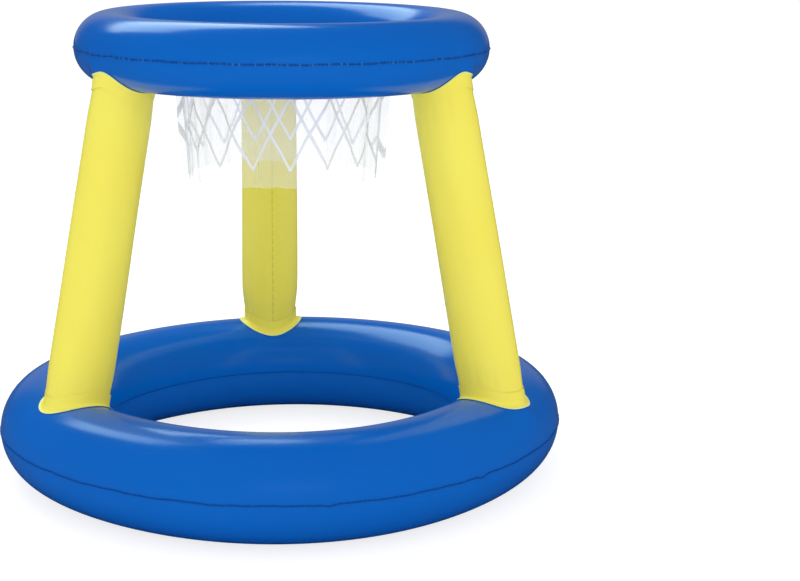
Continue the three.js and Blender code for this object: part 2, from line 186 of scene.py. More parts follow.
def blueFilm(name, glints):
    # Calendered PVC film, blue through and through: deep colour under a wet-looking gloss,
    # with fine crimps where the weld has gathered it
    look = blueLook
    material, tree, shader = newMaterial(name, look)
    shader.inputs["Specular Tint"].default_value = linear(look["tint"])
    place = addNode(tree, "TexCoord")
    run = addNode(tree, "SeparateXYZ", links={"Vector": place.outputs["UV"]})
    cloud = addNode(tree, "TexNoise", {"Scale": 1 / look["cloud"], "Detail": 2.0}, {"Vector": place.outputs["Object"]})
    tint = addNode(tree, "Mix", tints(look["film"], look["filmDeep"]), {"Factor": cloud.outputs["Fac"]})
    onWeld = addNode(tree, "MapRange", ramp(look["weldWidth"], look["weldFade"], 1, 0, "SMOOTHSTEP"),
                     {"Value": run.outputs["Y"]})
    # Painted glints: 1D noise along the weld picks pale dashes that stand in for highlights; glints sets their strength
    dashes = addNode(tree, "TexNoise", {"noise_dimensions": "1D", "Scale": 1 / look["dash"], "Detail": 1.0},
                     {"W": run.outputs["X"]})
    pale = addNode(tree, "MapRange", ramp(look["dashFrom"], look["dashTo"], 0, glints),
                   {"Value": dashes.outputs["Fac"]})
    weld = addNode(tree, "Mix", tints(look["weld"], look["weldPaintedGlint"]),
                   {"Factor": pale.outputs["Result"]})      # painted glints: pale dashes on the weld that stand in for highlights on its crimps
    colour = addNode(tree, "Mix", {"data_type": "RGBA"},
                     {"Factor": onWeld.outputs["Result"], 6: tint.outputs[2], 7: weld.outputs[2]})
    tree.links.new(colour.outputs[2], shader.inputs["Base Color"])
    near = addNode(tree, "MapRange", ramp(0, look["crimpReach"], 1, 0, "SMOOTHSTEP"), {"Value": run.outputs["Y"]})
    stretch = addNode(tree, "Mapping", {"Scale": (1 / look["crimpPitch"], 1 / look["crimpLength"], 1)},
                      {"Vector": place.outputs["UV"]})
    crimp = addNode(tree, "TexNoise", {"Scale": 1.0, "Detail": 1.0}, {"Vector": stretch.outputs["Vector"]})
    crimped = addNode(tree, "Math", {"operation": "MULTIPLY"}, {0: crimp.outputs["Fac"], 1: near.outputs["Result"]})
    grain = addNode(tree, "TexNoise", {"Scale": 1 / look["grain"], "Detail": 1.0}, {"Vector": place.outputs["Object"]})
    skin = addNode(tree, "Bump", {"Strength": look["grainStrength"], "Distance": look["grainDepth"]},
                   {"Height": grain.outputs["Fac"]})
    bump = addNode(tree, "Bump", {"Strength": 1.0, "Distance": look["crimpDepth"]},
                   {"Height": crimped.outputs["Value"], "Normal": skin.outputs["Normal"]})
    tree.links.new(bump.outputs["Normal"], shader.inputs["Normal"])
    return material


yellowLook = {
    "film": "#F5EC62", "filmWarm": "#F4E351", "cloud": 90 * mm, "roughness": 0.36, "ior": pvcIor, "specular": 0.35,
    "bead": "#DCEEB4", "beadWidth": 1.3 * mm, "beadFade": 0.4 * mm, "beadShare": 0.85,
    "lap": "#D9CF45", "lapPlace": 4.8 * mm, "lapWidth": 1.1 * mm, "lapShare": 0.75,
    "dash": 5.0 * mm, "dashFrom": 1.0 * mm, "dashTo": 1.75 * mm, "dashFaint": 0.25,
    "grain": 1.4 * mm, "grainStrength": 0.08, "grainDepth": 0.1 * mm,
}


def yellowFilm(name, beaded=False, lapped=False):
    # The same film in yellow with a satin roll finish: even colour and broad soft highlights. A weld bead is
    # stretched pale, and a lap weld shows as one thin broken line
    look = yellowLook
    material, tree, shader = newMaterial(name, look)
    place = addNode(tree, "TexCoord")
    run = addNode(tree, "SeparateXYZ", links={"Vector": place.outputs["UV"]})
    cloud = addNode(tree, "TexNoise", {"Scale": 1 / look["cloud"], "Detail": 2.0}, {"Vector": place.outputs["Object"]})
    colour = addNode(tree, "Mix", tints(look["film"], look["filmWarm"]), {"Factor": cloud.outputs["Fac"]})
    if beaded:                  # here V is the way in from the lip's edge
        beadEnd = look["beadWidth"] + look["beadFade"]
        share = addNode(tree, "MapRange", ramp(look["beadWidth"], beadEnd, look["beadShare"], 0),
                        {"Value": run.outputs["Y"]})
        colour = addNode(tree, "Mix", {"data_type": "RGBA", 7: linear(look["bead"])},
                         {"Factor": share.outputs["Result"], 6: colour.outputs[2]})
    if lapped:                  # here U is the way in from the lap's edge
        away = addNode(tree, "Math", {"operation": "SUBTRACT", 1: look["lapPlace"]}, {0: run.outputs["X"]})
        away = addNode(tree, "Math", {"operation": "ABSOLUTE"}, {0: away.outputs["Value"]})
        line = addNode(tree, "MapRange", ramp(look["lapWidth"] / 2, look["lapWidth"], look["lapShare"], 0),
                       {"Value": away.outputs["Value"]})
        beat = addNode(tree, "Math", {"operation": "PINGPONG", 1: look["dash"]}, {0: run.outputs["Y"]})
        dash = addNode(tree, "MapRange", ramp(look["dashFrom"], look["dashTo"], look["dashFaint"], 1),
                       {"Value": beat.outputs["Value"]})
        share = addNode(tree, "Math", {"operation": "MULTIPLY"}, {0: line.outputs["Result"], 1: dash.outputs["Result"]})
        colour = addNode(tree, "Mix", {"data_type": "RGBA", 7: linear(look["lap"])},
                         {"Factor": share.outputs["Value"], 6: colour.outputs[2]})
    tree.links.new(colour.outputs[2], shader.inputs["Base Color"])
    grain = addNode(tree, "TexNoise", {"Scale": 1 / look["grain"], "Detail": 1.0}, {"Vector": place.outputs["Object"]})
    bump = addNode(tree, "Bump", {"Strength": look["grainStrength"], "Distance": look["grainDepth"]},
                   {"Height": grain.outputs["Fac"]})
    tree.links.new(bump.outputs["Normal"], shader.inputs["Normal"])
    return material


netLook = {
    "film": "#F3F4FF", "print": "#F0F1F7", "roughness": 0.16, "ior": pvcIor,
    "clearAlpha": 0.23, "edgeAlpha": 0.56, "printAlpha": 0.9, "edgeBlend": 0.35,
    "paintedGlowFromBehind": 0.07,           # painted glow: emission standing in for light that clear film passes on from behind it
    "diamondWidth": 40.7 * mm, "diamondHeight": 73.0 * mm, "lineWidth": 3.0 * mm, "lineSoftness": 0.1,
    "printEnd": 116.5 * mm, "endFrom": -0.02, "endTo": -0.01,
    "crease": 16 * mm, "creaseTwist": 1.2, "creaseStrength": 0.35, "creaseDepth": 1.0 * mm,
}


def clearFilm():
    # Clear PVC film, 0.3 mm: nearly invisible face on, milky where it is seen edge on,
    # with a net of diamonds screen-printed on it in white ink
    look = netLook
    material, tree, shader = newMaterial("printedClearPvcFilm", look)
    place = addNode(tree, "TexCoord")
    run = addNode(tree, "SeparateXYZ", links={"Vector": place.outputs["UV"]})
    across = addNode(tree, "Math", {"operation": "DIVIDE", 1: look["diamondWidth"]}, {0: run.outputs["X"]})
    down = addNode(tree, "Math", {"operation": "SUBTRACT", 0: look["printEnd"]}, {1: run.outputs["Y"]})
    rise = addNode(tree, "Math", {"operation": "DIVIDE", 1: look["diamondHeight"]}, {0: down.outputs["Value"]})
    lines = []
    for slant in ("ADD", "SUBTRACT"):
        phase = addNode(tree, "Math", {"operation": slant}, {0: across.outputs["Value"], 1: rise.outputs["Value"]})
        nearest = addNode(tree, "Math", {"operation": "PINGPONG", 1: 0.5}, {0: phase.outputs["Value"]})
        lines.append(nearest.outputs["Value"])
    closest = addNode(tree, "Math", {"operation": "MINIMUM"}, {0: lines[0], 1: lines[1]})
    slope = math.hypot(1, look["diamondWidth"] / look["diamondHeight"])
    halfLine = look["lineWidth"] / 2 / look["diamondWidth"] * slope
    fade = halfLine * look["lineSoftness"]
    onLine = addNode(tree, "MapRange", ramp(halfLine - fade, halfLine + fade, 1, 0),
                     {"Value": closest.outputs["Value"]})
    above = addNode(tree, "MapRange", ramp(look["endFrom"], look["endTo"], 0, 1), {"Value": rise.outputs["Value"]})
    ink = addNode(tree, "Math", {"operation": "MULTIPLY"}, {0: onLine.outputs["Result"], 1: above.outputs["Result"]})
    colour = addNode(tree, "Mix", tints(look["film"], look["print"]), {"Factor": ink.outputs["Value"]})
    tree.links.new(colour.outputs[2], shader.inputs["Base Color"])
    facing = addNode(tree, "LayerWeight", {"Blend": look["edgeBlend"]})
    clear = addNode(tree, "MapRange", ramp(0, 1, look["clearAlpha"], look["edgeAlpha"]),
                    {"Value": facing.outputs["Facing"]})
    alpha = addNode(tree, "Mix", {3: look["printAlpha"]}, {"Factor": ink.outputs["Value"], 2: clear.outputs["Result"]})
    tree.links.new(alpha.outputs[0], shader.inputs["Alpha"])
    crease = addNode(tree, "TexNoise", {"Scale": 1 / look["crease"], "Detail": 3.0, "Distortion": look["creaseTwist"]},
                     {"Vector": place.outputs["Object"]})
    bump = addNode(tree, "Bump", {"Strength": look["creaseStrength"], "Distance": look["creaseDepth"]},
                   {"Height": crease.outputs["Fac"]})
    tree.links.new(bump.outputs["Normal"], shader.inputs["Normal"])
    # Painted glow: the clear film, not the ink, emits a little white light, standing in for light passed on from behind
    shader.inputs["Emission Color"].default_value = (1, 1, 1, 1)
    glow = addNode(tree, "MapRange", ramp(0, 1, look["paintedGlowFromBehind"], 0), {"Value": ink.outputs["Value"]})
    tree.links.new(glow.outputs["Result"], shader.inputs["Emission Strength"])
    return material


valveLook = {
    "plastic": "#EDEFF2", "plasticDull": "#DFE3EA", "cloud": 6 * mm, "roughness": 0.38, "ior": pvcIor,
    "grain": 0.5 * mm, "grainStrength": 0.15, "grainDepth": 0.05 * mm, "milk": 0.15, "milkDepth": 1 * mm,
}


def valvePlastic():
    # Soft PVC, injection moulded and undyed: milky white, with a dull bloom from the mould
    look = valveLook
    material, tree, shader = newMaterial("mouldedSoftPvc", look)
    place = addNode(tree, "TexCoord")
    cloud = addNode(tree, "TexNoise", {"Scale": 1 / look["cloud"], "Detail": 2.0}, {"Vector": place.outputs["Object"]})
    colour = addNode(tree, "Mix", tints(look["plastic"], look["plasticDull"]), {"Factor": cloud.outputs["Fac"]})
    tree.links.new(colour.outputs[2], shader.inputs["Base Color"])
    grain = addNode(tree, "TexNoise", {"Scale": 1 / look["grain"]}, {"Vector": place.outputs["Object"]})
    bump = addNode(tree, "Bump", {"Strength": look["grainStrength"], "Distance": look["grainDepth"]},
                   {"Height": grain.outputs["Fac"]})
    tree.links.new(bump.outputs["Normal"], shader.inputs["Normal"])
    shader.inputs["Subsurface Weight"].default_value = look["milk"]
    shader.inputs["Subsurface Radius"].default_value = [look["milkDepth"]] * 3
    return material


# Camera: at the photograph's place and lens, found from the outlines of the rings and legs

cameraSet = {
    "place": (0.0057, -1.9522, 0.6158), "yaw": 3.4862, "pitch": -12.2357, "roll": 0.4770,
    "focalPixels": 1856.08, "imageWidth": 800, "sensorWidth": 36, "clipEnd": 60,
}


def makeCamera():
    yaw, pitch, roll = (math.radians(cameraSet[name]) for name in ("yaw", "pitch", "roll"))
    forward = Vector((math.sin(yaw) * math.cos(pitch), math.cos(yaw) * math.cos(pitch), math.sin(pitch)))
    level = Vector((math.cos(yaw), -math.sin(yaw), 0))
    upright = level.cross(forward)
    right = math.cos(roll) * level + math.sin(roll) * upright
    up = right.cross(forward)
    bpy.ops.object.camera_add(location=cameraSet["place"])
    camera = bpy.context.object
    camera.rotation_euler = Matrix((right, up, -forward)).transposed().to_euler()
    camera.data.sensor_width = cameraSet["sensorWidth"]
    camera.data.lens = cameraSet["focalPixels"] / cameraSet["imageWidth"] * cameraSet["sensorWidth"]
    camera.data.clip_end = cameraSet["clipEnd"]
    bpy.context.scene.camera = camera


studio = {
    "floorSize": 30.0, "floorDrop": 0.6 * mm, "floorSeen": 0.38, "floorBounce": 0.95, "floorGlow": 0.78,
    "floorInGloss": 0.05, "roughness": 0.9, "specular": 0.1,
    "worldLevel": 0.88, "roomInGloss": 0.04, "cardInGloss": 0.3, "cardFrom": 0.85, "cardTo": 0.97,
    "lamps": [
        # place, aim, width, height, watts, tint, seen in gloss
        ((-0.80, 1.39, 2.08), (0, 0, 0.3), 1.9, 1.2, 30, (0.8, 1, 1), True),
        ((0.2, -2.4, 0.8), (0, 0, 0.25), 1.5, 0.9, 9, (1, 1, 1), False),
    ],
}


def seenDirectly(tree, path):       # by the camera, or through clear film
    return addNode(tree, "Math", {"operation": "MAXIMUM"},
                   {0: path.outputs["Is Camera Ray"], 1: path.outputs["Is Transmission Ray"]})


def makeFloor():
    deselectAll()
    bpy.ops.mesh.primitive_plane_add(size=studio["floorSize"], location=(0, 0, -studio["floorDrop"]))
    floor = bpy.context.object
    floor.name = "studioFloor"
    # Matt white paper, run out flat: it takes the object's shadow, and is dimmed where the film mirrors it
    material, tree, shader = newMaterial("whitePaperSweep", studio)
    shader.inputs["Emission Color"].default_value = (1, 1, 1, 1)
    path = addNode(tree, "LightPath")
    seen = seenDirectly(tree, path)
    white = addNode(tree, "MapRange", ramp(0, 1, studio["floorBounce"], studio["floorSeen"]),
                    {"Value": seen.outputs["Value"]})
    white = addNode(tree, "Mix", {3: studio["floorInGloss"]},
                    {"Factor": path.outputs["Is Glossy Ray"], 2: white.outputs["Result"]})
    colour = addNode(tree, "CombineColor", links={name: white.outputs[0] for name in ("Red", "Green", "Blue")})
    tree.links.new(colour.outputs["Color"], shader.inputs["Base Color"])
    glow = addNode(tree, "Math", {"operation": "MULTIPLY", 1: studio["floorGlow"]}, {0: seen.outputs["Value"]})
    tree.links.new(glow.outputs["Value"], shader.inputs["Emission Strength"])
    floor.data.materials.append(material)


def makeWorld():
    world = bpy.data.worlds.new("softWhiteRoom")
    bpy.context.scene.world = world
    world.use_nodes = True
    tree = world.node_tree
    tree.nodes.clear()
    path = addNode(tree, "LightPath")
    towards = addNode(tree, "TexCoord")
    axes = addNode(tree, "SeparateXYZ", links={"Vector": towards.outputs["Generated"]})
    card = ramp(studio["cardFrom"], studio["cardTo"], studio["roomInGloss"], studio["cardInGloss"], "SMOOTHSTEP")
    gloss = addNode(tree, "MapRange", card, {"Value": axes.outputs["Y"]})
    seen = seenDirectly(tree, path)
    level = addNode(tree, "MapRange", ramp(0, 1, studio["worldLevel"], 1), {"Value": seen.outputs["Value"]})
    level = addNode(tree, "Mix", {},
                    {"Factor": path.outputs["Is Glossy Ray"], 2: level.outputs["Result"], 3: gloss.outputs["Result"]})
    sky = addNode(tree, "Background", {"Color": (1, 1, 1, 1)}, {"Strength": level.outputs[0]})
    addNode(tree, "OutputWorld", links={"Surface": sky.outputs["Background"]})


def makeLamps():
    for place, aim, width, height, watts, tint, inGloss in studio["lamps"]:
        bpy.ops.object.light_add(type="AREA", location=place)
        lamp = bpy.context.object
        lamp.rotation_euler = (Vector(aim) - Vector(place)).to_track_quat("-Z", "Y").to_euler()
        lamp.data.shape = "RECTANGLE"
        lamp.data.size, lamp.data.size_y, lamp.data.energy = width, height, watts
        lamp.data.color = tint
        lamp.visible_glossy = inGloss


# Rings: two panels of film each, welded along the outer and the inner seam

skinSet = {
    "pleatStarts": (0.3, 1.9, 4.1), "pleatShares": (0.5, 0.3, 0.35),
    "patchCounts": (9, 14), "patchStarts": (0.7, 2.2), "patchLevel": 0.6, "patchSwing": 0.4,
    "wanderCounts": (23, 61), "wanderShare": 0.6, "wanderReach": 7 * mm,
    "sectionPoints": 96, "steps": 720, "holeReach": 4 * mm, "seatSearch": 30 * mm, "holeSearch": 20 * mm,
}
baseRing = {
    "outerDiameter": 596 * mm, "tubeWidth": 109 * mm, "tubeHeight": 106.8 * mm, "floorBand": 16 * mm,
    "facets": 48, "panelFacets": 9, "innerGap": gap / 2,            # of the frame's own ring, for the valve's seat
    "pleats": (143, 203, 105), "pleatDepth": 0.35 * mm, "pleatReach": 3.0 * mm,
    "grooveDepth": 0.2 * mm, "grooveReach": 1.0 * mm,
    # waves a turn, size and start of each
    "ovals": ((1, 2.5 * mm, -99), (2, 4.6 * mm, 87), (3, 2.4 * mm, 116), (4, 2.7 * mm, 21)),
    # where a leg's weld pulls the skin out: bearing, slope, size and spread
    "drawn": ((333, 50, 5.5 * mm, 20 * mm),),
    # where the seam dips: bearing, depth and width
    "wander": 0.35 * mm, "nicks": ((278, 1.8 * mm, 5 * mm), (311.5, 2.2 * mm, 5 * mm), (256, 0.8 * mm, 9 * mm)),
}
hoopRing = {
    "outerDiameter": 431.6 * mm, "tubeWidth": 71 * mm, "tubeHeight": 72 * mm, "top": 489.8 * mm,
    "facets": 40, "panelFacets": 8, "innerGap": film / 2 + gap,
    "pleats": (104, 149, 77), "pleatDepth": 0.4 * mm, "pleatReach": 2.8 * mm,
    "grooveDepth": 0.25 * mm, "grooveReach": 1.0 * mm,
    "ovals": (), "drawn": ((211, -30, 4 * mm, 13 * mm), (330, -30, 3.5 * mm, 13 * mm)),
    "wander": 0.3 * mm, "nicks": (),
}
for ring in (baseRing, hoopRing):
    ring["centreRadius"] = (ring["outerDiameter"] - ring["tubeWidth"]) / 2
    ring["halfWidth"], ring["halfHeight"] = ring["tubeWidth"] / 2, ring["tubeHeight"] / 2
baseRing["centreHeight"] = baseRing["halfHeight"] * math.sqrt(1 - (baseRing["floorBand"] / baseRing["tubeWidth"]) ** 2)
hoopRing["centreHeight"] = hoopRing["top"] - hoopRing["halfHeight"]


def outOfRound(ring, bearing):      # how a blown-up ring strays from a true circle
    return sum(size * np.cos(count * bearing - math.radians(start)) for count, size, start in ring["ovals"])


def aroundAxis(bearing, radius, height):
    return np.stack([radius * np.cos(bearing), radius * np.sin(bearing), height], -1)


def drawnOut(ring, bearing, angle):
    reach = 0 * bearing
    for place, slope, size, spread in ring["drawn"]:
        sideways = 2 * ring["centreRadius"] * np.sin((bearing - math.radians(place)) / 2)
        over = ring["tubeWidth"] * np.sin((angle - math.radians(slope)) / 2)
        reach = reach + size * np.exp(-(sideways ** 2 + over ** 2) / spread ** 2)
    return reach


def ringPoint(ring, bearing, angle, lift):
    steepX, steepZ = np.cos(angle) / ring["halfWidth"], np.sin(angle) / ring["halfHeight"]
    steep = np.hypot(steepX, steepZ)
    lift = lift + drawnOut(ring, bearing, angle)
    across = ring["halfWidth"] * np.cos(angle) + lift * steepX / steep
    rise = ring["halfHeight"] * np.sin(angle) + lift * steepZ / steep
    return aroundAxis(bearing, ring["centreRadius"] + outOfRound(ring, bearing) + across, ring["centreHeight"] + rise)


def crossSection(ring, points):     # shares of the tube's half width and half height
    bearing = np.arctan2(points[..., 1], points[..., 0])
    fromCentre = np.hypot(points[..., 0], points[..., 1]) - ring["centreRadius"] - outOfRound(ring, bearing)
    across, rise = fromCentre / ring["halfWidth"], (points[..., 2] - ring["centreHeight"]) / ring["halfHeight"]
    swollen = 1 + drawnOut(ring, bearing, np.arctan2(rise, across)) / ring["halfWidth"]
    return bearing, across / swollen, rise / swollen


def skinAngles(ring, points):
    bearing, across, rise = crossSection(ring, points)
    return bearing, np.arctan2(rise, across)


def seat(ring, bearing):        # where a valve stands: square on one flat facet of the frame's ring
    first = math.asin((gap / 2 + film) / ring["halfHeight"])
    last = math.pi - math.asin((ring["innerGap"] + film) / ring["halfHeight"])
    step = math.pi / ring["facets"]
    middle = (2 * math.floor(math.radians(bearing) / 2 / step) + 1) * step
    ends = []
    for facet in (1, 2):
        angle = first + (last - first) * facet / ring["panelFacets"]
        radius = (ring["centreRadius"] + ring["halfWidth"] * math.cos(angle)) * math.cos(step)
        height = ring["centreHeight"] + ring["halfHeight"] * math.sin(angle)
        ends.append(Vector((radius * math.cos(middle), radius * math.sin(middle), height)))
    upSlope = (ends[1] - ends[0]).normalized()
    sideways = Vector((-math.sin(middle), math.cos(middle), 0))
    outwards = sideways.cross(upSlope)
    matrix = Matrix((upSlope, -sideways, outwards)).transposed().to_4x4()
    matrix.translation = (ends[0] + ends[1]) / 2
    return matrix


valveSet = {"baseBearing": 64, "hoopBearing": 67, "holeRadius": 6.6 * mm, "flatRadius": 13 * mm, "flatReach": 26 * mm}
baseSeat, hoopSeat = seat(baseRing, valveSet["baseBearing"]), seat(hoopRing, valveSet["hoopBearing"])


def punchHole(panel, matrix, radius):     # in one skin of film, with its edge drawn to a true circle
    inverse = matrix.inverted()

    def isNear(co, reach):
        local = inverse @ co
        return abs(local.z) < skinSet["holeSearch"] and math.hypot(local.x, local.y) < reach

    pick(panel)
    bpy.ops.object.mode_set(mode="EDIT")
    bpy.ops.mesh.select_all(action="DESELECT")
    selectWhere(panel, lambda co: isNear(co, radius))
    bpy.ops.mesh.delete(type="VERT")
    mesh = bmesh.from_edit_mesh(panel.data)
    for vert in mesh.verts:
        if vert.is_boundary and isNear(vert.co, radius + skinSet["holeReach"]):
            local = inverse @ vert.co
            stretch = radius / math.hypot(local.x, local.y)
            vert.co = matrix @ Vector((local.x * stretch, local.y * stretch, local.z))
    bmesh.update_edit_mesh(panel.data)
    bpy.ops.object.mode_set(mode="OBJECT")


def sweptSection(name, ring, side):     # half a tube's section with flat weld edges, swept round the axis
    deselectAll()
    bpy.ops.mesh.primitive_circle_add(vertices=skinSet["sectionPoints"], radius=1, rotation=(math.pi / 2, 0, 0))
    panel = bpy.context.object
    panel.name = name
    bpy.ops.object.transform_apply(location=False, rotation=True, scale=False)
    bpy.ops.object.mode_set(mode="EDIT")
    bpy.ops.mesh.select_all(action="SELECT")
    bpy.ops.transform.resize(value=(ring["halfWidth"], 1, ring["halfHeight"]))
    bpy.ops.transform.translate(value=(ring["centreRadius"], 0, ring["centreHeight"]))
    bpy.ops.mesh.bisect(plane_co=(0, 0, ring["centreHeight"]), plane_no=(0, 0, side), clear_inner=True)
    for end in (1, -1):
        tip = Vector((ring["centreRadius"] + end * ring["halfWidth"], 0, ring["centreHeight"]))
        selectWhere(panel, lambda co: (co - tip).length < 10 * sameSpot)
        bpy.ops.mesh.extrude_vertices_move(TRANSFORM_OT_translate={"value": (end * weldFin, 0, 0)})
    bpy.ops.object.mode_set(mode="OBJECT")
    modify(panel, "SCREW", angle=fullTurn, steps=skinSet["steps"], render_steps=skinSet["steps"],
           use_merge_vertices=True, merge_threshold=sameSpot, use_normal_calculate=True)
    return panel


def seamDrop(ring, bearing):            # how far the outer seam strays downwards
    counts = skinSet["wanderCounts"]
    drop = ring["wander"] * (np.sin(counts[0] * bearing + 1) + skinSet["wanderShare"] * np.sin(counts[1] * bearing))
    for place, depth, width in ring["nicks"]:
        drop -= depth * bell((bearing - math.radians(place)) * ring["outerDiameter"] / 2, width)
    return drop


def flattened(points, seatMatrix):      # flat over the valve's flange
    local = (np.c_[points, np.ones(len(points))] @ np.array(seatMatrix.inverted()).T)[:, :3]
    away = np.hypot(local[:, 0], local[:, 1])
    pull = 1 - smoothStep(valveSet["flatRadius"], valveSet["flatReach"], away)
    local[:, 2] *= 1 - np.where(np.abs(local[:, 2]) < skinSet["seatSearch"], pull, 0)
    return (np.c_[local, np.ones(len(points))] @ np.array(seatMatrix).T)[:, :3]


def swell(panel, ring, side, seatMatrix):       # the skin's real shape, with its puckers along the outer seam
    points = places(panel)
    bearing = np.arctan2(points[:, 1], points[:, 0]) % fullTurn
    across = np.hypot(points[:, 0], points[:, 1]) - ring["centreRadius"]
    beyond = np.maximum(np.abs(across) - ring["halfWidth"], 0)
    rise = np.abs(points[:, 2] - ring["centreHeight"]) / ring["halfHeight"]
    opening = np.arctan2(rise, across / ring["halfWidth"])      # pi at the inner seam
    fromOuter = opening * (ring["halfWidth"] + ring["halfHeight"]) / 2
    outerHalf = opening < math.pi / 2
    edge = np.arcsin((np.where(outerHalf, gap / 2, ring["innerGap"]) + film) / ring["halfHeight"])
    angle = side * np.where(outerHalf, np.maximum(opening, edge), np.minimum(opening, math.pi - edge))
    patches = skinSet["patchLevel"] + skinSet["patchSwing"] * np.prod(
        [np.sin(count * bearing + start) for count, start in zip(skinSet["patchCounts"], skinSet["patchStarts"])], 0)
    waves = sum(share * np.sin(count * bearing + start) for count, share, start
                in zip(ring["pleats"], skinSet["pleatShares"], skinSet["pleatStarts"]))
    lift = ring["pleatDepth"] * patches * waves * np.exp(-fromOuter / ring["pleatReach"])
    lift -= ring["grooveDepth"] * bell(fromOuter, ring["grooveReach"])
    points = ringPoint(ring, bearing, angle, lift)
    shift = np.where(outerHalf, beyond, -beyond)                # weld edges stay flat
    points[:, 0] += shift * np.cos(bearing)
    points[:, 1] += shift * np.sin(bearing)
    points[:, 2] += np.where(outerHalf, seamDrop(ring, bearing) * bell(fromOuter, skinSet["wanderReach"]), 0)
    if side < 0:
        points[:, 2] = np.maximum(points[:, 2], 0)              # flat where it stands on the floor
    if seatMatrix:
        points = flattened(points, seatMatrix)
    setPlaces(panel, points)
    fromSeam = np.where(beyond > 0, 0, fromOuter)               # only the outer seam is gathered
    setUv(panel, bearing * ring["outerDiameter"] / 2, np.where(outerHalf, fromSeam, blueLook["crimpReach"]),
          period=fullTurn * ring["outerDiameter"] / 2)


def ringPanel(name, ring, side, seatMatrix=None, holes=()):
    panel = sweptSection(name, ring, side)
    swell(panel, ring, side, seatMatrix)
    crest = max(panel.data.polygons, key=lambda polygon: side * polygon.center.z)
    if crest.normal.z * side < 0:
        editWhole(panel)
        bpy.ops.mesh.flip_normals()
        bpy.ops.object.mode_set(mode="OBJECT")
    for matrix, radius in holes:
        punchHole(panel, matrix, radius)
    modify(panel, "SOLIDIFY", thickness=film, offset=-1)
    return panel


# Legs: one sheet each, rolled up and welded along a lap that faces the middle

legSet = {
    "footDiameter": 66.4 * mm, "headDiameter": 63 * mm, "neckDepth": 1.1 * mm, "neck": 34 * mm,
    "lap": 6 * mm, "lapStep": 0.05, "footAngle": 94, "airPortRadius": 9 * mm,
    "bearings": {"left_leg": (208.8, 212.8), "right_leg": (333.7, 328), "back_leg": (94.2, 95.4)},
    "pinch": {"back_leg": 2.0 * mm}, "pinchReach": 22 * mm,     # how far a foot is drawn in
    "columns": 120, "rows": 110,
    # gathers round each end: how many, share and start
    "gathers": ((13, 1, 0.8), (21, 0.6, 2.0)), "gatherDepth": 0.3 * mm, "gatherReach": 16 * mm, "gatherRise": 12 * mm,
    # shallow dents in the wall: waves a turn, radians a metre up the leg and across to the next leg
    "dents": ((2, 11, 9), (3, 17, 0)), "dentDepth": 0.3 * mm,
}
collarSet = {
    "height": 14 * mm, "lap": 4 * mm, "seat": 0.15 * mm, "clear": 0.3 * mm, "lapFrom": 0.15, "lapTo": 0.4,
    "columns": 160, "rows": 44, "bead": 0.35 * mm, "beadWidth": 1.3 * mm,
}
reachSet = {"strides": 200, "halvings": 30}
lapLift = film + gap
tubeEndGap = collarSet["height"] - collarSet["lap"]
footEnd = {
    "ring": baseRing, "upwards": -1, "radius": legSet["footDiameter"] / 2 - legSet["neckDepth"],
    "lipReach": 5.1 * mm, "bendHeight": 5 * mm, "bendReach": 3 * mm,
}
headEnd = {
    "ring": hoopRing, "upwards": 1, "radius": legSet["headDiameter"] / 2 - legSet["neckDepth"],
    "lipReach": 2.0 * mm, "bendHeight": 1.5 * mm, "bendReach": 0.8 * mm,
}


def legFrame(footBearing, headBearing):
    slant = math.radians(legSet["footAngle"])
    foot = aroundAxis(math.radians(footBearing), baseRing["centreRadius"] + baseRing["halfWidth"] * math.cos(slant),
                      baseRing["centreHeight"] + baseRing["halfHeight"] * math.sin(slant))
    head = aroundAxis(math.radians(headBearing), hoopRing["centreRadius"], hoopRing["centreHeight"])
    up = unit(head - foot)
    middle = (foot + head) / 2
    sideways = np.cross(up, middle)
    sideways[2] = 0
    sideways = unit(sideways)
    return {"up": up, "middle": middle, "sideways": sideways, "front": unit(np.cross(sideways, up)),
            "length": np.linalg.norm(head - foot)}


def spokeOut(leg, turn):
    return np.cos(turn)[..., None] * leg["front"] + np.sin(turn)[..., None] * leg["sideways"]


def reachRing(leg, turn, radius, ring, upwards):        # how far a line of the leg's wall runs to the ring
    start = leg["middle"] + spokeOut(leg, turn) * radius
    direction = leg["up"] * upwards

    def inside(distance):
        _, across, rise = crossSection(ring, start + distance[..., None] * direction)
        return np.hypot(across, rise) < 1

    near, far = np.zeros(turn.shape), np.full(turn.shape, leg["length"])
    found = np.zeros(turn.shape, bool)
    stride = leg["length"] / reachSet["strides"]
    for count in range(1, reachSet["strides"] + 1):
        distance = np.full(turn.shape, stride * count)
        hit = ~found & inside(distance)
        near = np.where(hit, distance - stride, near)
        far = np.where(hit, distance, far)
        found |= hit
    for _ in range(reachSet["halvings"]):
        middle = (near + far) / 2
        isIn = inside(middle)
        near, far = np.where(isIn, near, middle), np.where(isIn, middle, far)
    return near


def filmGrid(name, columns, rows):      # a flat sheet one unit square, whose shares across and along come back too
    deselectAll()
    bpy.ops.mesh.primitive_grid_add(x_subdivisions=columns, y_subdivisions=rows, size=1)
    sheet = bpy.context.object
    sheet.name = name
    shares = places(sheet)[:, :2] + 0.5
    return sheet, shares[:, 0], shares[:, 1]


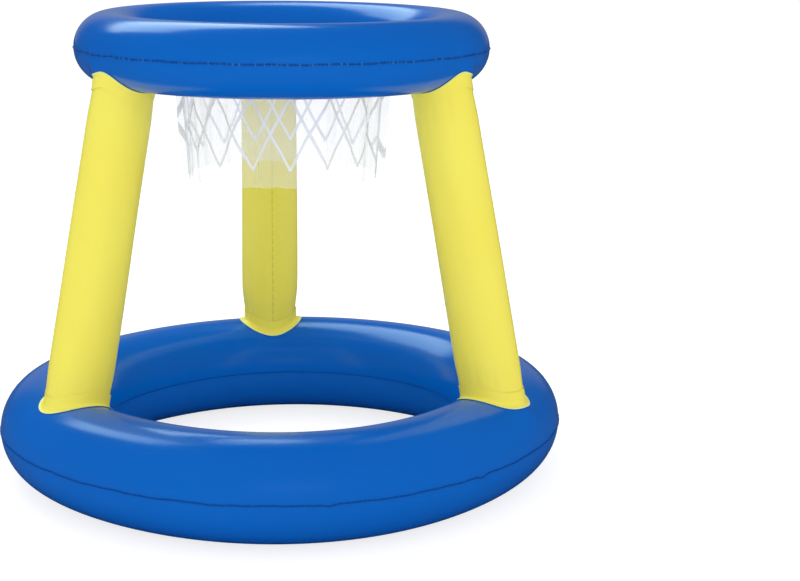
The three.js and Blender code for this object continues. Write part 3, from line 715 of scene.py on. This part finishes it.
def legTube(name, leg):
    tube, across, along = filmGrid(name + "_tube", legSet["columns"], legSet["rows"])
    footRadius, headRadius = legSet["footDiameter"] / 2, legSet["headDiameter"] / 2
    sweep = fullTurn + legSet["lap"] / footRadius
    turn = math.pi + across * sweep
    down = reachRing(leg, turn, footEnd["radius"], baseRing, -1) - tubeEndGap
    up = reachRing(leg, turn, headEnd["radius"], hoopRing, 1) - tubeEndGap
    height = -down + along * (down + up)
    fromFoot, fromHead = height + down, up - height
    fromEnd = np.minimum(fromFoot, fromHead)
    radius = footRadius + (headRadius - footRadius) * smoothStep(0, 1, along)
    radius -= legSet["neckDepth"] * (1 - smoothStep(0, legSet["neck"], fromEnd))
    radius -= legSet["pinch"].get(name, 0) * bell(fromFoot, legSet["pinchReach"])
    gathers = sum(share * np.sin(count * turn + start) for count, share, start in legSet["gathers"])
    gathers *= np.exp(-fromEnd / legSet["gatherReach"]) * smoothStep(0, legSet["gatherRise"], fromEnd)
    dents = np.prod([np.sin(count * turn + rate * height + start * leg["middle"][0])
                     for count, rate, start in legSet["dents"]], 0)
    radius += legSet["gatherDepth"] * gathers + legSet["dentDepth"] * dents
    radius += lapLift * smoothStep(fullTurn - legSet["lapStep"], fullTurn, turn - math.pi)
    setPlaces(tube, leg["middle"] + spokeOut(leg, turn) * radius[:, None] + height[:, None] * leg["up"])
    setUv(tube, (1 - across) * sweep * footRadius, height)
    modify(tube, "SOLIDIFY", thickness=film, offset=-1)
    return tube


def collar(name, leg, end, pinch):
    ring, upwards, lipReach = end["ring"], end["upwards"], end["lipReach"]
    cuff, across, along = filmGrid(name + "_cuff", collarSet["columns"], collarSet["rows"])
    turn = -upwards * across * fullTurn
    fromLap = np.abs(across * fullTurn - math.pi + 0.5 * upwards * legSet["lap"] / end["radius"])
    overLap = lapLift * (1 - smoothStep(collarSet["lapFrom"], collarSet["lapTo"], fromLap))
    radius = (end["radius"] + collarSet["clear"] + overLap)[:, None]
    reach = reachRing(leg, turn, radius, ring, upwards)
    direction = leg["up"] * upwards
    outwards = spokeOut(leg, turn)
    axisReach = reachRing(leg, np.zeros(1), 0, ring, upwards)[0]
    centreBearing, centreAngle = skinAngles(ring, leg["middle"] + direction * axisReach)
    bearing, angle = skinAngles(ring, leg["middle"] + outwards * radius + reach[:, None] * direction)
    sideways, over = bearing - centreBearing, angle - centreAngle
    spread = np.hypot(ring["centreRadius"] * sideways, ring["halfWidth"] * over)

    def onWall(distance):
        return leg["middle"] + outwards * (radius + film - pinch) + (reach - distance)[:, None] * direction

    def onRing(beyond, lift):
        stretch = 1 + beyond / spread
        return ringPoint(ring, centreBearing + sideways * stretch, centreAngle + over * stretch, lift)

    height, bendHeight, bendReach = collarSet["height"], end["bendHeight"], end["bendReach"]
    lift = collarSet["seat"] + film
    run = along * (height + lipReach)
    toEdge = height + lipReach - run
    share = np.clip((run - (height - bendHeight)) / (bendHeight + bendReach), 0, 1)[:, None]
    corner = (onWall(0) + onRing(-pinch, lift)) / 2
    first, last = onWall(bendHeight), onRing(bendReach, lift)
    bent = (1 - share) ** 2 * first + 2 * share * (1 - share) * corner + share ** 2 * last
    halfBead = collarSet["beadWidth"] / 2
    flat = onRing(np.clip(run - height, 0, lipReach), lift + collarSet["bead"] * bell(toEdge - halfBead, halfBead))
    points = np.where((run > height + bendReach)[:, None], flat, bent)
    points = np.where((run < height - bendHeight)[:, None], onWall(height - run), points)
    setPlaces(cuff, points)
    setUv(cuff, across * fullTurn * end["radius"], toEdge)
    editWhole(cuff)
    bpy.ops.mesh.remove_doubles(threshold=sameSpot)
    bpy.ops.object.mode_set(mode="OBJECT")
    modify(cuff, "SOLIDIFY", thickness=film, offset=-1)
    return cuff


# Net: a front and a back film, caught in the hoop ring's inner seam and welded together down both sides

netSet = {
    "catch": 4 * mm, "overhang": 1.2 * mm, "shoulderRadius": 104 * mm, "shoulderDepth": 47 * mm,
    "hemRadius": 98 * mm, "hemDepth": 135 * mm, "sideWeld": 9 * mm,
    "columns": 260, "rows": 84,
    # the shoulder's curve, then the straight run to the hem
    "dropShares": (0.06, 0.3, 0.62, 1), "drawShares": (0.22, 0.5, 0.78, 1), "hemShares": (0.35, 0.7, 1),
    # folds across half of the net: how many, share of foldDepth, start in turns of a wave
    "folds": ((7, 0.55, 0.1), (11, 0.3, 0.65), (29, 0.07, 0.2)), "foldDepth": 3.4 * mm, "foldEase": 8,
    # creases by the side welds and at the top: how many and how far they slant, share of foldDepth
    "sideCreases": (61, 9, 0.22), "sideFrom": 0.55, "sideTo": 0.95, "topCreases": (34, -14, 0.12),
    "tail": 5.5 * mm, "tailPlace": 0.9, "tailWidth": 0.05, "ragFrom": 0.6,
    # raggedness of the hem: how many waves, their share and how far they start apart on the two films
    "rag": 0.7 * mm, "ragWaves": ((9, 1, 1), (23, 0.8, 0), (57, 0.5, 0)),
    "printShift": {-1: (-7.3 * mm, 0), 1: (7.6 * mm, 5 * mm)},     # where the print lies on the front and the back film
    # each film as cut: half the hoop's inner seam and both side welds across, tapering to the hem
    "flatSize": (479 * mm, 155 * mm), "flatArea": 0.0567,
}


def netRun():       # a film's way from the hoop's seam to its hem: depth and radius along it
    catchRadius = hoopRing["centreRadius"] - hoopRing["halfWidth"] - weldFin - netSet["overhang"]
    radii = [catchRadius + netSet["catch"], catchRadius]
    depths = [0.0, 0.0]
    for drop, draw in zip(netSet["dropShares"], netSet["drawShares"]):
        radii.append(catchRadius + (netSet["shoulderRadius"] - catchRadius) * draw)
        depths.append(netSet["shoulderDepth"] * drop)
    for share in netSet["hemShares"]:
        radii.append(netSet["shoulderRadius"] + (netSet["hemRadius"] - netSet["shoulderRadius"]) * share)
        depths.append(netSet["shoulderDepth"] + (netSet["hemDepth"] - netSet["shoulderDepth"]) * share)
    return np.concatenate([[0], np.cumsum(np.hypot(np.diff(radii), np.diff(depths)))]), depths, radii


def netFilm(name, side):
    sheet, across, along = filmGrid(name, netSet["columns"], netSet["rows"])
    run, depths, radii = netRun()
    down = 1 - along                    # the sheet's first edge is the hem
    depth, radius = np.interp(down * run[-1], run, depths), np.interp(down * run[-1], run, radii)
    formed = smoothStep(0, netSet["shoulderDepth"], depth)
    earShare = netSet["sideWeld"] / (netSet["sideWeld"] + math.pi / 2 * netSet["shoulderRadius"])
    spot = (2 * across - 1) / (1 - earShare)
    ear = np.maximum(np.abs(spot) - 1, 0) / (1 / (1 - earShare) - 1)
    spot = np.clip(spot, -1, 1)
    turn = spot * math.pi / 2
    flatness = np.sin(math.pi / 2 * np.minimum(1, (1 - np.abs(spot)) * netSet["foldEase"]))
    wave = sum(share * np.cos(math.pi * (spot * count + 2 * start)) for count, share, start in netSet["folds"])
    nearSide = smoothStep(netSet["sideFrom"], netSet["sideTo"], np.abs(spot))
    for (count, slant, share), where in ((netSet["sideCreases"], nearSide), (netSet["topCreases"], 1 - down)):
        wave = wave + share * np.sin(count * turn + slant * down) * where
    radius = radius + netSet["foldDepth"] * formed * wave * flatness
    sideways = np.sin(turn) * radius + np.sign(spot) * ear * netSet["sideWeld"] * formed
    outwards = np.cos(turn) * radius + gap / 2 + film / 2
    tail = netSet["tail"] * bell(np.abs(spot) - netSet["tailPlace"], netSet["tailWidth"])
    waves = sum(share * np.sin(count * turn + shift * side) for count, share, shift in netSet["ragWaves"])
    hem = (tail + netSet["rag"] * waves) * smoothStep(netSet["ragFrom"], 1, down)
    setPlaces(sheet, np.stack([-side * sideways, side * outwards, hoopRing["centreHeight"] - depth - hem], -1))
    printed = turn * netSet["shoulderRadius"] + np.sign(spot) * ear * netSet["sideWeld"]
    setUv(sheet, printed + netSet["printShift"][side][0], depth + netSet["printShift"][side][1])
    return sheet


# Valves: a turned stem with a lug, and a stopper cap on its strap, in millimetres in the valve's own frame

stemSet = {
    "rim": 8.0, "radius": 5.2, "bore": 3.2, "stop": 6.4, "rimLow": 0.3, "rimHigh": 1.5,
    "stopTop": -18.44, "end": -19.44, "lug": 9.3, "lugRoot": 0.5, "strap": 3.2, "bevel": 0.25,
}
capSet = {
    "disc": 6.4, "low": 1.8, "high": 3.0, "recess": 0.35, "rimWidth": 1.4, "recessWidth": 1.8,
    "plug": 2.9, "nose": 2.0, "plugEnd": -3.2, "shoulder": 0.1,
    "reach": 10.4, "strap": 3.2, "strapThick": 0.8, "root": 1.0,
    "tabReach": 2.2, "tabHalf": 2.0, "tabLow": 0.2, "tabHigh": 1.0, "bevel": 0.2,
}
turnedSteps = 64
bevelFrom = math.radians(40)        # edges sharper than this are moulded round


def turned(name, outline):      # a closed outline of (radius, height), spun round
    deselectAll()
    bpy.ops.mesh.primitive_circle_add(vertices=len(outline), radius=1)
    piece = bpy.context.object
    piece.name = name
    setPlaces(piece, np.array([(radius * mm, 0, height * mm) for radius, height in outline]))
    editWhole(piece)
    bpy.ops.mesh.spin(steps=turnedSteps, angle=fullTurn, center=(0, 0, 0), axis=(0, 0, 1))
    bpy.ops.mesh.select_all(action="SELECT")
    bpy.ops.mesh.remove_doubles(threshold=sameSpot / 10)
    bpy.ops.mesh.normals_make_consistent(inside=False)
    bpy.ops.object.mode_set(mode="OBJECT")
    return piece


def addBlock(piece, low, high):         # a bar joined to the piece
    deselectAll()
    middle = [(top + bottom) / 2 * mm for bottom, top in zip(low, high)]
    size = [(top - bottom) * mm for bottom, top in zip(low, high)]
    bpy.ops.mesh.primitive_cube_add(size=1, location=middle, scale=size)
    block = bpy.context.object
    modify(piece, "BOOLEAN", object=block, operation="UNION", solver="EXACT")
    bpy.data.objects.remove(block)


def settle(piece, matrix, bevel):       # moulded edges, and its place on the ring
    modify(piece, "BEVEL", width=bevel * mm, segments=2, limit_method="ANGLE", angle_limit=bevelFrom)
    pick(piece)
    piece.matrix_world = matrix
    bpy.ops.object.transform_apply(location=True, rotation=True, scale=True)
    return piece


def valveStem(name, matrix):
    s = stemSet
    stem = turned(name, [
        (s["bore"], s["end"]), (s["stop"], s["end"]), (s["stop"], s["stopTop"]), (s["radius"], s["stopTop"]),
        (s["radius"], s["rimLow"]), (s["rim"], s["rimLow"]), (s["rim"], s["rimHigh"]), (s["bore"], s["rimHigh"]),
    ])
    addBlock(stem, (s["radius"] + s["lugRoot"], -s["strap"] / 2, s["rimLow"]), (s["lug"], s["strap"] / 2, s["rimHigh"]))
    return settle(stem, matrix, s["bevel"])


def valveCap(name, matrix):
    c = capSet
    recess, half, strapTop = c["high"] - c["recess"], c["strap"] / 2, c["low"] + c["strapThick"]
    cap = turned(name, [(0, c["plugEnd"]), (c["nose"], c["plugEnd"]), (c["plug"], c["shoulder"]), (c["plug"], c["low"]),
                        (c["disc"], c["low"]), (c["disc"], c["high"]), (c["disc"] - c["rimWidth"], c["high"]),
                        (c["disc"] - c["recessWidth"], recess), (0, recess)])
    addBlock(cap, (c["disc"] - c["root"], -half, c["low"]), (c["reach"], half, strapTop))
    addBlock(cap, (c["reach"] - c["strapThick"], -half, stemSet["rimHigh"] - c["strapThick"] / 2),
             (c["reach"], half, strapTop))
    addBlock(cap, (-c["disc"] - c["tabReach"], -c["tabHalf"], c["low"] + c["tabLow"]),
             (-c["disc"] + c["root"], c["tabHalf"], c["low"] + c["tabHigh"]))
    return settle(cap, matrix, c["bevel"])


bpy.context.scene.view_settings.view_transform = "Standard"
makeCamera()
makeFloor()
makeWorld()
makeLamps()
print("camera and studio ready")

# the hoop's weld gets the full painted glints, the base's weld only a trace
baseBlue, hoopBlue = blueFilm("blueCalenderedPvcFilm", 0.15), blueFilm("blueCalenderedPvcFilmWithPaintedWeldGlints", 1.0)
clear, plastic = clearFilm(), valvePlastic()
yellow = yellowFilm("yellowPvcFilmWithLapWeld", lapped=True)
yellowCuff = yellowFilm("yellowPvcFilmWithWeldBead", beaded=True)
print("materials ready")

legs = {name: legFrame(*bearings) for name, bearings in legSet["bearings"].items()}
holes = []              # the air ports under the legs, then the valve's
for leg in legs.values():
    foot = leg["middle"] - leg["up"] * reachRing(leg, np.zeros(1), 0, baseRing, -1)[0]
    along = Vector(leg["up"]).to_track_quat("Z", "Y").to_matrix().to_4x4()
    along.translation = Vector(foot)
    holes.append((along, legSet["airPortRadius"]))
holes.append((baseSeat, valveSet["holeRadius"]))
baseUpper = ringPanel("base_upper_film", baseRing, 1, baseSeat, holes)
baseLower = ringPanel("base_lower_film", baseRing, -1)
hoopUpper = ringPanel("hoop_upper_film", hoopRing, 1, hoopSeat, [(hoopSeat, valveSet["holeRadius"])])
hoopLower = ringPanel("hoop_lower_film", hoopRing, -1)
for panel, blue, node in ((baseUpper, baseBlue, "base_upper_panel"), (baseLower, baseBlue, "base_lower_panel"),
                          (hoopUpper, hoopBlue, "hoop_upper_panel"), (hoopLower, hoopBlue, "hoop_lower_panel")):
    dress(panel, blue, "blue_film", body, node)
print("rings ready")

for name, leg in legs.items():
    dress(legTube(name, leg), yellow, "yellow_film", body, name)
    for endName, end, pinch in (("foot", footEnd, legSet["pinch"].get(name, 0)), ("head", headEnd, 0)):
        cuffName = f"{name}_{endName}_collar"
        dress(collar(cuffName, leg, end, pinch), yellowCuff, "yellow_film", body, cuffName)
print("legs ready")

for name, side in (("net_front", -1), ("net_back", 1)):
    sheet = netFilm(name + "_sheet", side)
    dress(sheet, clear, "clear_film", body, name + "_film")
print("net ready")

for name, matrix in (("base_valve", baseSeat), ("hoop_valve", hoopSeat)):
    dress(valveStem(name + "_spout", matrix), plastic, "valve_plastic", name + "_stem", name + "_stem")
    dress(valveCap(name + "_stopper", matrix), plastic, "valve_plastic", name + "_cap", name + "_cap")
    for part in ("_flange", "_flap"):
        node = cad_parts[name + part]
        node.data.materials.clear()
        node.data.materials.append(plastic)
print("valves ready")
